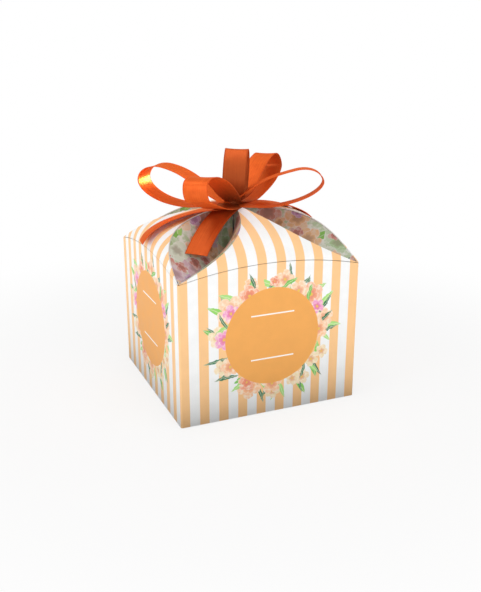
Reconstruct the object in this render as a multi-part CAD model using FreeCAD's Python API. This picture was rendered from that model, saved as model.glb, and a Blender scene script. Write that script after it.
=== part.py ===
"""Gift carton for chocolates: four petal flaps with bellows gussets, closed under a ribbon bow."""
import FreeCAD
import Part
import math
import os

from dataclasses import dataclass
from FreeCAD import Matrix, Vector

# Carton, millimetres
BOX_WIDTH = 100.0
WALL_HEIGHT = 76.0
CREASE_RISE = 6.0
BOARD = 0.5
CORNER_RADIUS = 0.9
LEAST_FOLD_RADIUS = 0.1
CREASE_GAP = 0.3
SEAM_FLAP_WIDTH = 14.0
SEAM_FLAP_TAPER = 4.0

# Snap-lock base
BASE_SIDE_GAP = 14.6
BASE_SIDE_TAPER = 9.0
BASE_TONGUE_LENGTH = 12.0
BASE_TONGUE_WIDTH = 44.0
FOLD_CLEARANCE = 0.2

# Petals
PETAL_RISE = 19.5
PETAL_TIP_GAP = 1.2
PETAL_CORNER_INSET = 0.6
PETAL_TIP_HALF_WIDTH = 0.8
PETAL_EDGE_HOLLOW = 1.95
PETAL_TIP_CROWN = 0.15
PETAL_START_LEAN = 9.7
PETAL_START_PULL = 10.9
PETAL_END_LEAN = 1.6
PETAL_END_PULL = 31.8
PETAL_STATIONS = (0.0, 0.05, 0.12, 0.22, 0.34, 0.48, 0.64, 0.82, 1.0)

# Gussets
GUSSET_STATIONS = (0.03, 0.1, 0.2, 0.32, 0.46, 0.62, 0.8, 0.995)
GUSSET_SLOPE_STEP = 0.005
GUSSET_FOLD_GAP = 0.15
VALLEY_SETBACK = 0.35
VALLEY_REACH = 69.4

# Ribbon bow
RIBBON_WIDTH = 12.7
RIBBON_THICKNESS = 0.4
KNOT_RADIUS = 4.0
KNOT_WAIST = 3.4
KNOT_HEIGHT = 5.0
KNOT_LIFT = 0.3
ROOT_GAP = 0.25
GATHER_HALF_WIDTH = 1.0
GATHER_ANGLE = 22.0
UPRIGHT_GATHER_ANGLE = 38.0

# Loops of the bow
LEFT_LOOP_LENGTH = 57.5
RIGHT_LOOP_LENGTH = 49.5
FRONT_LOOP_LENGTH = 54.0
BACK_LOOP_LENGTH = 50.0
UPRIGHT_LOOP_LENGTH = 24.8
LOOP_BEND_RADIUS = 7.0
RIGHT_LOOP_BEND_RADIUS = 5.8
FRONT_LOOP_BEND_RADIUS = 6.5
BACK_LOOP_BEND_RADIUS = 5.0
UPRIGHT_LOOP_BEND_RADIUS = 5.0
LOOP_STRAND_RADIUS = 48.0
LEFT_LOOP_UPPER_RADIUS = 75.0
RIGHT_LOOP_UPPER_RADIUS = 58.0
FRONT_LOOP_STRAND_RADIUS = 70.0
UPRIGHT_LOOP_STRAND_RADIUS = 30.0
LOW_ROOT_HEIGHT = 2.4
HIGH_ROOT_HEIGHT = 3.4
UPRIGHT_ROOT_CLEARANCE = 0.2

# Tails of the bow
FRONT_TAIL_AZIMUTH = 222.0
FRONT_TAIL_REACH = 45.0
FRONT_TAIL_DROP = 17.0
FRONT_TAIL_HEIGHT = 1.1
LEFT_TAIL_AZIMUTH = 181.0
LEFT_TAIL_END_STATION = 0.06
LEFT_TAIL_STAND_OFF = 1.2
RIGHT_TAIL_AZIMUTH = 8.0
RIGHT_TAIL_END_STATION = 0.22
RIGHT_TAIL_STAND_OFF = 0.6
TAIL_CLEARANCE = 0.5
TAIL_GATHER_ANGLE = 18.0
TAIL_STATIONS = 5

# Chocolates
CHOCOLATE_HEIGHT = 24.0
CHOCOLATE_DRAFT = 1.2
CHOCOLATE_ROUNDING = 2.0
CHOCOLATE_GAP = 4.5
CHOCOLATE_ROW = 3
CHOCOLATE_LAYERS = ("lower", "upper")

HALF_WIDTH = BOX_WIDTH / 2
BASE_THICKNESS = 2 * BOARD
PETAL_TOP = WALL_HEIGHT + CREASE_RISE + PETAL_RISE
CHOCOLATE_SIDE = (BOX_WIDTH - 2 * BOARD - (CHOCOLATE_ROW + 1) * CHOCOLATE_GAP) / CHOCOLATE_ROW
LOFT_DEGREE = 3
UP = Vector(0, 0, 1)
ORIGIN = Vector(0, 0, 0)
SIDES = ("front", "right", "back", "left")
QUARTER_TURNS = {side: 360 / len(SIDES) * step for step, side in enumerate(SIDES)}


@dataclass(frozen=True)
class Loop:
    """One loop of the bow: where it points, in degrees, and its sizes."""

    azimuth: float
    elevation: float
    roll: float
    length: float
    bend_radius: float = LOOP_BEND_RADIUS
    upper_radius: float = LOOP_STRAND_RADIUS
    lower_radius: float = LOOP_STRAND_RADIUS
    root_height: float = LOW_ROOT_HEIGHT
    root: float = KNOT_RADIUS + ROOT_GAP
    gather_angle: float = GATHER_ANGLE


LOOPS = {
    "bow_left_loop": Loop(131.0, 8.5, 0.0, LEFT_LOOP_LENGTH, upper_radius=LEFT_LOOP_UPPER_RADIUS),
    "bow_right_loop": Loop(337.0, 14.0, -17.0, RIGHT_LOOP_LENGTH, RIGHT_LOOP_BEND_RADIUS,
                           upper_radius=RIGHT_LOOP_UPPER_RADIUS),
    "bow_front_loop": Loop(226.0, 15.3, 1.5, FRONT_LOOP_LENGTH, FRONT_LOOP_BEND_RADIUS,
                           FRONT_LOOP_STRAND_RADIUS, FRONT_LOOP_STRAND_RADIUS, HIGH_ROOT_HEIGHT),
    "bow_back_loop": Loop(41.0, 16.0, -1.0, BACK_LOOP_LENGTH, BACK_LOOP_BEND_RADIUS,
                          root_height=HIGH_ROOT_HEIGHT),
    "bow_upright_loop": Loop(54.0, 76.0, -3.0, UPRIGHT_LOOP_LENGTH, UPRIGHT_LOOP_BEND_RADIUS,
                             UPRIGHT_LOOP_STRAND_RADIUS, UPRIGHT_LOOP_STRAND_RADIUS,
                             KNOT_HEIGHT + UPRIGHT_ROOT_CLEARANCE, ROOT_GAP, UPRIGHT_GATHER_ANGLE),
}


def turned(shape, degrees):
    """Copy of a shape turned about the carton's upright axis."""
    copy = shape.copy()
    copy.rotate(ORIGIN, UP, degrees)
    return copy


def prism(points, direction):
    """Solid swept straight from a closed polygon."""
    return Part.Face(Part.makePolygon(points + points[:1])).extrude(direction)


def arc(start, middle, end):
    """Edge through three points on a circle."""
    return Part.Arc(start, middle, end).toShape()


def line(start, end):
    """Straight edge."""
    return Part.LineSegment(start, end).toShape()


def uprights(block):
    """The edges of a box that run straight up."""
    return [edge for edge in block.Edges if abs(edge.Vertexes[-1].Z - edge.Vertexes[0].Z) > edge.Length / 2]


def front_wall():
    """Wall panel with mitred, rounded corner folds and an arched top crease."""
    tall = WALL_HEIGHT + CREASE_RISE
    outer = Part.makeBox(BOX_WIDTH, BOX_WIDTH, tall, Vector(-HALF_WIDTH, -HALF_WIDTH, 0))
    outer = outer.makeFillet(CORNER_RADIUS, uprights(outer))
    hollow = BOX_WIDTH - 2 * BOARD
    inner = Part.makeBox(hollow, hollow, tall, Vector(-hollow / 2, -hollow / 2, 0))
    inner = inner.makeFillet(max(CORNER_RADIUS - BOARD, LEAST_FOLD_RADIUS), uprights(inner))
    sector = prism([ORIGIN, Vector(-BOX_WIDTH, -BOX_WIDTH, 0), Vector(BOX_WIDTH, -BOX_WIDTH, 0)],
                   UP * tall)
    left = Vector(-HALF_WIDTH, 0, WALL_HEIGHT)
    right = Vector(HALF_WIDTH, 0, WALL_HEIGHT)
    crest = Vector(0, 0, tall)
    outline = Part.Wire([line(Vector(-HALF_WIDTH, 0, 0), Vector(HALF_WIDTH, 0, 0)),
                         line(Vector(HALF_WIDTH, 0, 0), right), arc(right, crest, left),
                         line(left, Vector(-HALF_WIDTH, 0, 0))])
    arched = Part.Face(outline).extrude(Vector(0, -BOX_WIDTH, 0))
    return outer.cut(inner).common(sector).common(arched)


def seam_flap():
    """Glue flap folded from the left wall on to the inner face of the back wall."""
    inner = HALF_WIDTH - BOARD
    start = -inner + CORNER_RADIUS
    end = start + SEAM_FLAP_WIDTH
    low = BASE_THICKNESS + FOLD_CLEARANCE
    high = WALL_HEIGHT - BOARD
    outline = [Vector(start, inner, low), Vector(end, inner, low + SEAM_FLAP_TAPER),
               Vector(end, inner, high - SEAM_FLAP_TAPER), Vector(start, inner, high)]
    return prism(outline, Vector(0, -BOARD, 0))


def base_main_flap(tongue_out):
    """Outer base flap of the front side; one of the pair has the locking tongue, the other its notch."""
    reach = HALF_WIDTH - BOARD - FOLD_CLEARANCE
    far = -FOLD_CLEARANCE / 2
    half_tongue = BASE_TONGUE_WIDTH / 2
    flap = Part.makeBox(2 * reach, reach + far, BOARD, Vector(-reach, -reach, 0))
    if tongue_out:
        tongue = Part.makeBox(BASE_TONGUE_WIDTH, BASE_TONGUE_LENGTH, BOARD, Vector(-half_tongue, far, 0))
        rim = [edge for edge in uprights(tongue) if edge.CenterOfMass.y > tongue.CenterOfMass.y]
        return flap.fuse(tongue.makeFillet(BASE_TONGUE_LENGTH / 2, rim)).removeSplitter()
    notch_width = BASE_TONGUE_WIDTH + 2 * FOLD_CLEARANCE
    depth = BASE_TONGUE_LENGTH + FOLD_CLEARANCE
    notch = Part.makeBox(notch_width, depth, BOARD, Vector(-notch_width / 2, far - depth, 0))
    return flap.cut(notch)


def base_side_flap():
    """Inner base flap of the front side, a trapezium lying on the outer pair."""
    reach = HALF_WIDTH - BOARD - FOLD_CLEARANCE
    far = -BASE_SIDE_GAP / 2
    outline = [Vector(-reach, -reach, BOARD), Vector(reach, -reach, BOARD),
               Vector(reach - BASE_SIDE_TAPER, far, BOARD), Vector(-reach + BASE_SIDE_TAPER, far, BOARD)]
    return prism(outline, UP * BOARD)


def petal_half_width(t):
    """Half the petal's width, from 0 at the crease to 1 at the tip."""
    crease_half = HALF_WIDTH - PETAL_CORNER_INSET
    return PETAL_TIP_HALF_WIDTH * t + crease_half * (1 - t) / (1 + PETAL_EDGE_HOLLOW * t)


def petal_profile(t):
    """Inward run and height of the petal's middle line, and its direction as a unit pair."""
    lean = math.radians(PETAL_START_LEAN)
    level = math.radians(PETAL_END_LEAN)
    start = (0.0, WALL_HEIGHT + CREASE_RISE + CREASE_GAP)
    end = (HALF_WIDTH - PETAL_TIP_GAP, PETAL_TOP)
    first = (start[0] + PETAL_START_PULL * math.sin(lean), start[1] + PETAL_START_PULL * math.cos(lean))
    last = (end[0] - PETAL_END_PULL * math.cos(level), end[1] - PETAL_END_PULL * math.sin(level))
    weights = ((1 - t) ** 3, 3 * t * (1 - t) ** 2, 3 * t * t * (1 - t), t ** 3)
    slopes = (-3 * (1 - t) ** 2, 3 * (1 - t) * (1 - 3 * t), 3 * t * (2 - 3 * t), 3 * t * t)
    poles = (start, first, last, end)
    run = sum(w * p[0] for w, p in zip(weights, poles))
    height = sum(w * p[1] for w, p in zip(weights, poles))
    along_run = sum(s * p[0] for s, p in zip(slopes, poles))
    along_height = sum(s * p[1] for s, p in zip(slopes, poles))
    length = math.hypot(along_run, along_height)
    return run, height, along_run / length, along_height / length


def petal_point(t, share, depth=0.0):
    """Point of the front petal: share runs from -1 to 1 across it, depth goes in from its outer face."""
    run, height, along_run, along_height = petal_profile(t)
    x = share * petal_half_width(t)
    crease_share = (1 - t) ** 2 * (1 + 2 * t)
    drop = CREASE_RISE * (x / HALF_WIDTH) ** 2 * crease_share + PETAL_TIP_CROWN * share ** 2 * t
    return Vector(x, run - HALF_WIDTH + depth * along_height, height - drop - depth * along_run)


def sheet(outer_sections, inner_sections):
    """Thin solid between two smooth skins, closed by ruled edges all round."""
    outer = Part.makeLoft(outer_sections, False, False, False, LOFT_DEGREE).Faces[0]
    inner = Part.makeLoft(inner_sections, False, False, False, LOFT_DEGREE).Faces[0]
    faces = [outer, inner]
    for edge in outer.Edges:
        middle = edge.CenterOfMass
        partner = min(inner.Edges, key=lambda other: (other.CenterOfMass - middle).Length)
        faces.append(Part.makeRuledSurface(edge, partner))
    shell = Part.makeShell(faces)
    shell.sewShape()
    solid = Part.makeSolid(shell)
    if solid.Volume < 0:
        solid.reverse()
    return solid


def front_petal():
    """Curved petal lofted from the arched crease to its tip."""
    outer = []
    inner = []
    for t in PETAL_STATIONS:
        outer.append(Part.Wire([arc(*[petal_point(t, share) for share in (-1, 0, 1)])]))
        inner.append(Part.Wire([arc(*[petal_point(t, share, BOARD) for share in (-1, 0, 1)])]))
    return sheet(outer, inner)


def valley_point(t):
    """Point of the valley fold between two petals, level at the corner of the walls."""
    reach = VALLEY_REACH * t / math.sqrt(2)
    inset = VALLEY_SETBACK * math.sqrt(2)
    return Vector(HALF_WIDTH - reach - inset, reach - HALF_WIDTH, WALL_HEIGHT + 2 * BOARD)


def gusset_rulings(t):
    """Outer and inner lines of the gusset from the petal's edge down to the valley fold."""
    before = t - GUSSET_SLOPE_STEP
    after = t + GUSSET_SLOPE_STEP
    edge = petal_point(t, 1, BOARD + GUSSET_FOLD_GAP)
    valley = valley_point(t)
    along = petal_point(after, 1) - petal_point(before, 1) + valley_point(after) - valley_point(before)
    normal = along.cross(valley - edge).normalize()
    if normal.z > 0:
        normal = normal * -1
    depth = normal * BOARD
    return line(edge, valley), line(edge + depth, valley + depth)


def right_gusset():
    """Gusset half hanging from the right-hand edge of the front petal."""
    pairs = [gusset_rulings(t) for t in GUSSET_STATIONS]
    return sheet([Part.Wire([outer]) for outer, _ in pairs], [Part.Wire([inner]) for _, inner in pairs])


def mirrored(shape):
    """Mirror image of a front piece about the middle of its wall."""
    return shape.mirror(ORIGIN, Vector(1, 0, 0))


def add_carton(parts):
    """Walls, glue flap and base."""
    wall = front_wall()
    for side, degrees in QUARTER_TURNS.items():
        parts[side + "_wall"] = turned(wall, degrees)
    parts["glue_seam_flap"] = seam_flap()
    parts["base_front_flap"] = base_main_flap(True)
    parts["base_back_flap"] = turned(base_main_flap(False), QUARTER_TURNS["back"])
    for side in ("right", "left"):
        parts["base_" + side + "_flap"] = turned(base_side_flap(), QUARTER_TURNS[side])


def add_petals(parts):
    """Four petals, each with its two gusset halves."""
    petal = front_petal()
    gusset = right_gusset()
    for side, degrees in QUARTER_TURNS.items():
        parts[side + "_petal"] = turned(petal, degrees)
        parts[side + "_petal_right_gusset"] = turned(gusset, degrees)
        parts[side + "_petal_left_gusset"] = turned(mirrored(gusset), degrees)


def bow_placement(azimuth, elevation, roll, height):
    """Placement whose X axis runs out from the knot and whose Z axis leans up from it."""
    level = math.radians(azimuth)
    rise = math.radians(elevation)
    twist = math.radians(roll)
    out = Vector(math.cos(rise) * math.cos(level), math.cos(rise) * math.sin(level), math.sin(rise))
    upright = Vector(-math.sin(rise) * math.cos(level), -math.sin(rise) * math.sin(level), math.cos(rise))
    across = upright.cross(out) * math.cos(twist) + upright * math.sin(twist)
    lean = out.cross(across)
    seat = PETAL_TOP + KNOT_LIFT + height
    return FreeCAD.Placement(Matrix(out.x, across.x, lean.x, 0, out.y, across.y, lean.y, 0,
                                    out.z, across.z, lean.z, seat, 0, 0, 0, 1))


def ribbon(outline, root, length, gather_angle):
    """Ribbon of full width with this side outline, gathered narrow towards the knot."""
    half = RIBBON_WIDTH / 2
    band = Part.Face(outline).extrude(Vector(0, RIBBON_WIDTH, 0))
    band.translate(Vector(0, -half, 0))
    spread = (half - GATHER_HALF_WIDTH) / math.tan(math.radians(gather_angle))
    wide = root + spread
    near = root - KNOT_RADIUS
    far = wide + length
    neck = GATHER_HALF_WIDTH
    plan = [Vector(near, -neck, -length), Vector(root, -neck, -length), Vector(wide, -half, -length),
            Vector(far, -half, -length), Vector(far, half, -length), Vector(wide, half, -length),
            Vector(root, neck, -length), Vector(near, neck, -length)]
    return band.common(prism(plan, UP * 2 * length))


def loop_strand(start, bend_centre, bend_radius, strand_radius):
    """Upper strand of a loop up to its bend: three points of its outer face and three of its inner."""
    reach = strand_radius - bend_radius
    span = bend_centre - start
    distance = span.Length
    along = (strand_radius ** 2 - reach ** 2 + distance ** 2) / (2 * distance)
    below = math.sqrt(strand_radius ** 2 - along ** 2)
    direction = span.normalize()
    centre = start + direction * along + Vector(direction.z, 0, -direction.x) * below
    join = bend_centre + (bend_centre - centre).normalize() * bend_radius
    halfway = ((start - centre) + (join - centre)).normalize()
    outer = [start, centre + halfway * strand_radius, join]
    return outer, [point + (centre - point).normalize() * RIBBON_THICKNESS for point in outer]


def ribbon_loop(loop):
    """One loop of the bow: two bowed strands and the bend between them."""
    bend_centre = Vector(loop.length - loop.bend_radius, 0, 0)
    start = Vector(loop.root, 0, RIBBON_THICKNESS + ROOT_GAP)
    upper, inner = loop_strand(start, bend_centre, loop.bend_radius, loop.upper_radius)
    strands = loop_strand(start, bend_centre, loop.bend_radius, loop.lower_radius)
    lower, inner_lower = [[Vector(point.x, 0, -point.z) for point in strand] for strand in strands]
    tip = Vector(loop.length, 0, 0)
    inner_tip = Vector(loop.length - RIBBON_THICKNESS, 0, 0)
    outline = Part.Wire([arc(*upper), arc(upper[2], tip, lower[2]), arc(*reversed(lower)),
                         line(lower[0], inner_lower[0]), arc(*inner_lower),
                         arc(inner_lower[2], inner_tip, inner[2]), arc(*reversed(inner)),
                         line(inner[0], upper[0])])
    band = ribbon(outline, loop.root, loop.length, loop.gather_angle)
    band.Placement = bow_placement(loop.azimuth, loop.elevation, loop.roll, loop.root_height)
    return band


def front_tail():
    """Loose end that leaves the knot level and bows down to a square cut over the corner."""
    start = KNOT_RADIUS + ROOT_GAP
    run = FRONT_TAIL_REACH - start
    radius = (run ** 2 + FRONT_TAIL_DROP ** 2) / (2 * FRONT_TAIL_DROP)
    sweep = math.asin(run / radius)

    def bowed(share, depth):
        turn = sweep * share
        size = radius - depth
        return Vector(start + size * math.sin(turn), 0, size * math.cos(turn) - radius)

    upper = [bowed(share, 0) for share in (0, 0.5, 1)]
    lower = [bowed(share, RIBBON_THICKNESS) for share in (0, 0.5, 1)]
    outline = Part.Wire([arc(*upper), line(upper[2], lower[2]), arc(*reversed(lower)),
                         line(lower[0], upper[0])])
    tail = ribbon(outline, start, FRONT_TAIL_REACH, TAIL_GATHER_ANGLE)
    tail.Placement = bow_placement(FRONT_TAIL_AZIMUTH, 0, 0, FRONT_TAIL_HEIGHT)
    return tail


def curve(points):
    """Smooth edge through points."""
    spline = Part.BSplineCurve()
    spline.interpolate(points)
    return spline.toShape()


def petal_tail(azimuth, end_station, stand_off):
    """Loose end that lies along the middle of a petal and lifts a little at its square cut."""
    start = KNOT_RADIUS + ROOT_GAP
    upper = []
    lower = []
    for step in range(TAIL_STATIONS):
        share = step / (TAIL_STATIONS - 1)
        t = 1 + (end_station - 1) * share
        run, height, along_run, along_height = petal_profile(t)
        gap = TAIL_CLEARANCE + stand_off * share ** 2
        for side, lift in ((lower, gap), (upper, gap + RIBBON_THICKNESS)):
            out = HALF_WIDTH - run + lift * along_height
            side.append(Vector(out, 0, height + lift * along_run - PETAL_TOP))
    lower[0].x = start
    upper[0].x = start
    outline = Part.Wire([curve(upper), line(upper[-1], lower[-1]), curve(lower[::-1]),
                         line(lower[0], upper[0])])
    tail = ribbon(outline, start, HALF_WIDTH, TAIL_GATHER_ANGLE)
    tail.Placement = bow_placement(azimuth, 0, 0, -KNOT_LIFT)
    return tail


def bow_knot():
    """Tight turn of ribbon that gathers the loops, drawn in at its waist."""
    low = Vector(KNOT_RADIUS, 0, 0)
    high = Vector(KNOT_RADIUS, 0, KNOT_HEIGHT)
    waist = Vector(KNOT_WAIST, 0, KNOT_HEIGHT / 2)
    top = Vector(0, 0, KNOT_HEIGHT)
    outline = Part.Wire([line(ORIGIN, low), arc(low, waist, high), line(high, top), line(top, ORIGIN)])
    knot = Part.Face(outline).revolve(ORIGIN, UP, 360)
    knot.translate(UP * (PETAL_TOP + KNOT_LIFT))
    return knot


def add_bow(parts):
    """Knot, loops and tails of the ribbon."""
    parts["bow_knot"] = bow_knot()
    for name, loop in LOOPS.items():
        parts[name] = ribbon_loop(loop)
    parts["bow_front_tail"] = front_tail()
    parts["bow_left_tail"] = petal_tail(LEFT_TAIL_AZIMUTH, LEFT_TAIL_END_STATION, LEFT_TAIL_STAND_OFF)
    parts["bow_right_tail"] = petal_tail(RIGHT_TAIL_AZIMUTH, RIGHT_TAIL_END_STATION, RIGHT_TAIL_STAND_OFF)


def chocolate():
    """One square piece with drafted sides and softened upper edges."""
    foot = CHOCOLATE_SIDE / 2
    crown = foot - CHOCOLATE_DRAFT
    rings = []
    for half, z in ((foot, 0), (crown, CHOCOLATE_HEIGHT)):
        corners = [Vector(half * x, half * y, z) for x, y in ((-1, -1), (1, -1), (1, 1), (-1, 1))]
        rings.append(Part.makePolygon(corners + corners[:1]))
    block = Part.makeLoft(rings, True, True)
    edges = [edge for edge in block.Edges if edge.BoundBox.ZMax > CHOCOLATE_HEIGHT / 2]
    return block.makeFillet(CHOCOLATE_ROUNDING, edges)


def add_chocolates(parts):
    """Layers of pieces standing on the base in a square grid."""
    piece = chocolate()
    pitch = CHOCOLATE_SIDE + CHOCOLATE_GAP
    middle = (CHOCOLATE_ROW - 1) / 2
    for layer, name in enumerate(CHOCOLATE_LAYERS):
        copies = []
        for cell in range(CHOCOLATE_ROW ** 2):
            copy = piece.copy()
            column, row = cell % CHOCOLATE_ROW - middle, cell // CHOCOLATE_ROW - middle
            copy.translate(Vector(pitch * column, pitch * row, BASE_THICKNESS + layer * CHOCOLATE_HEIGHT))
            copies.append(copy)
        parts["chocolates_" + name + "_layer"] = Part.makeCompound(copies)


def main():
    """Build every piece and write each to its own file."""
    os.makedirs("parts", exist_ok=True)
    parts = {}
    add_carton(parts)
    add_petals(parts)
    add_bow(parts)
    add_chocolates(parts)
    for name, shape in parts.items():
        shape.exportStep("parts/" + name + ".step")
        print(name, shape.isValid(), len(shape.Solids), round(shape.Volume, 1))


main()
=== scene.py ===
"""Dresses the gift carton for chocolates: printed board, satin bow, chocolates and a plain studio."""
import logging
import math
from dataclasses import dataclass, field
from enum import Enum

import bpy
from bpy.types import ID, Material, Node, NodeSocket, NodeTree, Object
from mathutils import Matrix, Vector


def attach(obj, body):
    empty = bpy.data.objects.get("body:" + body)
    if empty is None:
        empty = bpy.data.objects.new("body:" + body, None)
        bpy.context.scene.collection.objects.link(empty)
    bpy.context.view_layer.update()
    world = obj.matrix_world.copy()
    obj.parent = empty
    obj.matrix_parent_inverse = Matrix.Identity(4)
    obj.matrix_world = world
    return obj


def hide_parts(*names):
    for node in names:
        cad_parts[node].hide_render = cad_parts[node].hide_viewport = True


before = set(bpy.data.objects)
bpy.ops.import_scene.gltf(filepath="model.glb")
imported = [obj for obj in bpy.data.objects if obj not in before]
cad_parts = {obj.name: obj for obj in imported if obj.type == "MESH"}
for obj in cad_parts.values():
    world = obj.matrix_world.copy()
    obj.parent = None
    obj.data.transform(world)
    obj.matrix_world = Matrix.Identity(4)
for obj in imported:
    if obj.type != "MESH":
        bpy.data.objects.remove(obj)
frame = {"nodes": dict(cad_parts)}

LOG = logging.getLogger("chocolate_box")
MM = 0.001
UP = Vector((0, 0, 1))
# The scales of the board's noise are per metre; the lobe depth is a share of a blossom's radius.
FIBRE_SCALE = 2600.0
MOTTLE_SCALE = 140.0
LOBE_DEPTH = 0.42
Colour = tuple[float, float, float]
Value = float | tuple | Vector | NodeSocket


class Side(Enum):
    """The four sides of the carton, each with its turn from the front, in degrees."""

    FRONT = 0
    RIGHT = 90
    BACK = 180
    LEFT = 270

    @property
    def is_main(self) -> bool:
        """Whether the side is one of the pair whose print has a stripe at both corners."""
        return self in (Side.FRONT, Side.BACK)

    @property
    def label(self) -> str:
        """The side's word in node names."""
        return self.name.lower()

    def turned(self, vector: Vector) -> Vector:
        """A direction of the front side carried round to this side."""
        return Matrix.Rotation(math.radians(self.value), 3, "Z") @ vector

    @property
    def outward(self) -> Vector:
        """Unit vector out of the wall."""
        return self.turned(Vector((0, -1, 0)))

    @property
    def across(self) -> Vector:
        """Unit vector along the wall, to the right seen from outside."""
        return self.turned(Vector((1, 0, 0)))


class Hold(Enum):
    """How a ribbon piece is held, in the words of the frame."""

    FOLDED = "folded"
    DRAPED = "draped"
    LAID = "laid"


def linear(red: int, green: int, blue: int) -> Colour:
    """Linear colour of an sRGB triple.

    Args:
        red, green, blue: channels from 0 to 255.

    Returns:
        The colour as Blender's sockets take it.
    """
    def channel(value: int) -> float:
        """One channel as a linear share."""
        share = value / 255
        return share / 12.92 if share <= 0.04045 else ((share + 0.055) / 1.055) ** 2.4

    return channel(red), channel(green), channel(blue)


def put(name: str, data: ID) -> Object:
    """Adds an object to the scene.

    Args:
        name: the object's name.
        data: its mesh, lamp or camera.

    Returns:
        The object.
    """
    item = bpy.data.objects.new(name, data)
    bpy.context.scene.collection.objects.link(item)
    return item


class Graph:
    """Short ways to add and join the nodes of one shader tree."""

    def __init__(self, tree: NodeTree) -> None:
        """Keeps the tree that nodes are added to."""
        self.tree = tree

    def add(self, kind: str, **settings: object) -> Node:
        """Adds a node.

        Args:
            kind: the node's kind, without Blender's prefix.
            settings: its properties by name.

        Returns:
            The node.
        """
        node = self.tree.nodes.new("ShaderNode" + kind)
        for name, value in settings.items():
            setattr(node, name, value)
        return node

    def plug(self, socket: NodeSocket, value: Value) -> None:
        """Links a socket to another, or sets its own value.

        Args:
            socket: the input.
            value: an output socket, a number, a vector or a colour.
        """
        if isinstance(value, NodeSocket):
            self.tree.links.new(value, socket)
        elif socket.type == "RGBA":
            socket.default_value = (*value, 1.0)
        else:
            socket.default_value = value

    def math(self, operation: str, *values: Value) -> NodeSocket:
        """Adds a Math node.

        Args:
            operation: what it works out.
            values: its inputs in order.

        Returns:
            The result.
        """
        node = self.add("Math", operation=operation)
        for socket, value in zip(node.inputs, values):
            self.plug(socket, value)
        return node.outputs[0]

    def vector(self, operation: str, *values: Value) -> NodeSocket:
        """Adds a Vector Math node.

        Args:
            operation: what it works out.
            values: its inputs in order, with the factor second for a scaling.

        Returns:
            The result: a number for a dot product or a length, or else a vector.
        """
        node = self.add("VectorMath", operation=operation)
        slots = [node.inputs["Scale"]] if operation == "SCALE" else list(node.inputs)[1:]
        for socket, value in zip([node.inputs[0]] + slots, values):
            self.plug(socket, value)
        return node.outputs["Value" if operation in ("DOT_PRODUCT", "LENGTH") else "Vector"]

    def combine(self, x: Value, y: Value, z: Value = 0.0) -> NodeSocket:
        """Joins three numbers to a vector.

        Args:
            x, y, z: the parts.

        Returns:
            The vector.
        """
        node = self.add("CombineXYZ")
        for socket, value in zip(node.inputs, (x, y, z)):
            self.plug(socket, value)
        return node.outputs[0]

    def split(self, vector: NodeSocket) -> tuple[NodeSocket, NodeSocket, NodeSocket]:
        """Takes a vector apart.

        Args:
            vector: the vector.

        Returns:
            Its three parts.
        """
        node = self.add("SeparateXYZ")
        self.plug(node.inputs[0], vector)
        return tuple(node.outputs)

    def mix(self, factor: Value, first: Value, second: Value, blend: str = "MIX") -> NodeSocket:
        """Blends two colours.

        Args:
            factor: share of the second colour, from 0 to 1.
            first, second: the colours.
            blend: the way of blending.

        Returns:
            The blended colour.
        """
        node = self.add("Mix", data_type="RGBA", blend_type=blend)
        self.plug(node.inputs[0], factor)
        self.plug(node.inputs[6], first)
        self.plug(node.inputs[7], second)
        return node.outputs[2]

    def smooth(self, value: Value, low: Value, high: Value, start: float = 0.0,
               end: float = 1.0) -> NodeSocket:
        """Maps a value by a smooth step.

        Args:
            value: the value.
            low, high: where the step starts and ends.
            start, end: the results there and beyond.

        Returns:
            The result.
        """
        node = self.add("MapRange", interpolation_type="SMOOTHSTEP")
        names = ("Value", "From Min", "From Max", "To Min", "To Max")
        for name, item in zip(names, (value, low, high, start, end)):
            self.plug(node.inputs[name], item)
        return node.outputs[0]

    def below(self, value: Value, limit: float, edge: float) -> NodeSocket:
        """Mask that is 1 below a limit and 0 above it, with a soft edge."""
        return self.smooth(value, limit - edge, limit + edge, 1.0, 0.0)

    def grey(self, value: NodeSocket) -> NodeSocket:
        """The same value in all three channels."""
        return self.combine(value, value, value)

    def seen(self) -> NodeSocket:
        """Adds a mask of the rays that show the backdrop.

        Returns:
            1 for the camera's rays, reflections and what passes through glass, 0 for others.
        """
        rays = self.add("LightPath").outputs
        other = self.math("MAXIMUM", rays["Is Glossy Ray"], rays["Is Transmission Ray"])
        return self.math("MAXIMUM", rays["Is Camera Ray"], other)

    def noise(self, vector: Value, scale: float, detail: float = 2.0) -> NodeSocket:
        """Adds a noise texture.

        Args:
            vector: the place.
            scale: how fine it is.
            detail: how many finer layers it has.

        Returns:
            The noise, from 0 to 1.
        """
        node = self.add("TexNoise")
        for name, value in (("Vector", vector), ("Scale", scale), ("Detail", detail)):
            self.plug(node.inputs[name], value)
        return node.outputs[0]

    def chance(self, seed: NodeSocket) -> NodeSocket:
        """Draws a random number.

        Args:
            seed: what it depends on.

        Returns:
            The number, from 0 to 1.
        """
        node = self.add("TexWhiteNoise", noise_dimensions="1D")
        self.plug(node.inputs["W"], seed)
        return node.outputs["Value"]

    def palette(self, value: NodeSocket, colours: tuple[Colour, ...]) -> NodeSocket:
        """Picks a colour.

        Args:
            value: what picks it, from 0 to 1.
            colours: the choice, each with an equal share of the values.

        Returns:
            The colour.
        """
        node = self.add("ValToRGB")
        ramp = node.color_ramp
        ramp.interpolation = "CONSTANT"
        while len(ramp.elements) < len(colours):
            ramp.elements.new(1.0)
        for place, colour in enumerate(colours):
            ramp.elements[place].position = place / len(colours)
            ramp.elements[place].color = (*colour, 1.0)
        self.plug(node.inputs[0], value)
        return node.outputs[0]

    def group(self, tree: NodeTree, **values: Value) -> Node:
        """Places a node group.

        Args:
            tree: the group.
            values: its inputs by name.

        Returns:
            The group's node.
        """
        node = self.tree.nodes.new("ShaderNodeGroup")
        node.node_tree = tree
        for name, value in values.items():
            self.plug(node.inputs[name], value)
        return node


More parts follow.
